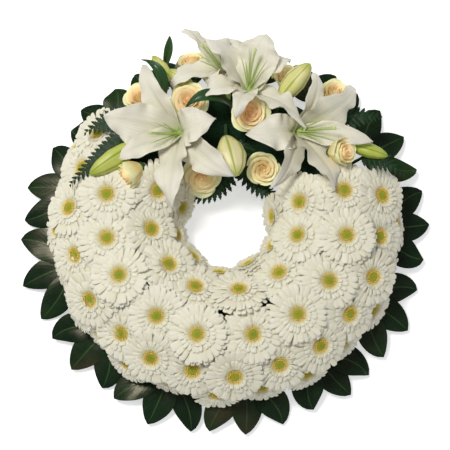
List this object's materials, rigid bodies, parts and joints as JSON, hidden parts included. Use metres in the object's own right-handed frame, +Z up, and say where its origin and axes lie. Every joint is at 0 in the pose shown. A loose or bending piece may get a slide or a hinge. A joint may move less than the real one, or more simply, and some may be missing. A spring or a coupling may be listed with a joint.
{
  "type": "funeral wreath",
  "caption": "Round funeral wreath of white mini gerberas on a foam ring in a tray, edged with glossy leaves, with a spray of lilies, roses and buds at one side.",
  "frame": {"origin": "middle of the bounding box, on the surface that the tray lies on", "axes": "+Z straight up from the tray, +Y towards the spray of lilies, +X to the right as one looks down with the spray at the top"},
  "size_m": [0.5074, 0.4864, 0.1455],
  "materials": {
    "gerbera_petals": "matte",
    "lily_petals": "satin",
    "rose_petals": "matte",
    "lily_buds": "satin",
    "evergreen_leaves": "gloss",
    "fern_leaves": "matte",
    "floral_foam": "matte",
    "tray_plastic": "satin"
  },
  "bodies": {
    "root": {"base_tray": "tray_plastic", "fern_frond_1": "fern_leaves", "fern_frond_2": "fern_leaves", "fern_frond_3": "fern_leaves", "fern_frond_4": "fern_leaves", "fern_frond_5": "fern_leaves", "fern_frond_6": "fern_leaves", "foam_ring": "floral_foam", "gerberas_crest_1": "gerbera_petals", "gerberas_crest_2": "gerbera_petals", "gerberas_crest_3": "gerbera_petals", "gerberas_hole_1": "gerbera_petals", "gerberas_hole_2": "gerbera_petals", "gerberas_inner_1": "gerbera_petals", "gerberas_inner_2": "gerbera_petals", "gerberas_inner_3": "gerbera_petals", "gerberas_rim_1": "gerbera_petals", "gerberas_rim_2": "gerbera_petals", "gerberas_rim_3": "gerbera_petals", "gerberas_rim_4": "gerbera_petals", "gerberas_shoulder_1": "gerbera_petals", "gerberas_shoulder_2": "gerbera_petals", "gerberas_shoulder_3": "gerbera_petals", "gerberas_shoulder_4": "gerbera_petals", "leaf_sprig_1": "evergreen_leaves", "leaf_sprig_10": "evergreen_leaves", "leaf_sprig_11": "evergreen_leaves", "leaf_sprig_12": "evergreen_leaves", "leaf_sprig_13": "evergreen_leaves", "leaf_sprig_2": "evergreen_leaves", "leaf_sprig_3": "evergreen_leaves", "leaf_sprig_4": "evergreen_leaves", "leaf_sprig_5": "evergreen_leaves", "leaf_sprig_6": "evergreen_leaves", "leaf_sprig_7": "evergreen_leaves", "leaf_sprig_8": "evergreen_leaves", "leaf_sprig_9": "evergreen_leaves", "lily_back": "lily_petals", "lily_bud_1": "lily_buds", "lily_bud_2": "lily_buds", "lily_bud_3": "lily_buds", "lily_bud_4": "lily_buds", "lily_bud_5": "lily_buds", "lily_bud_6": "lily_buds", "lily_leaf_1": "evergreen_leaves", "lily_leaf_2": "evergreen_leaves", "lily_leaf_3": "evergreen_leaves", "lily_left": "lily_petals", "lily_middle": "lily_petals", "lily_right": "lily_petals", "rose_1": "rose_petals", "rose_10": "rose_petals", "rose_2": "rose_petals", "rose_3": "rose_petals", "rose_4": "rose_petals", "rose_5": "rose_petals", "rose_6": "rose_petals", "rose_7": "rose_petals", "rose_8": "rose_petals", "rose_9": "rose_petals"}
  },
  "joints": []
}
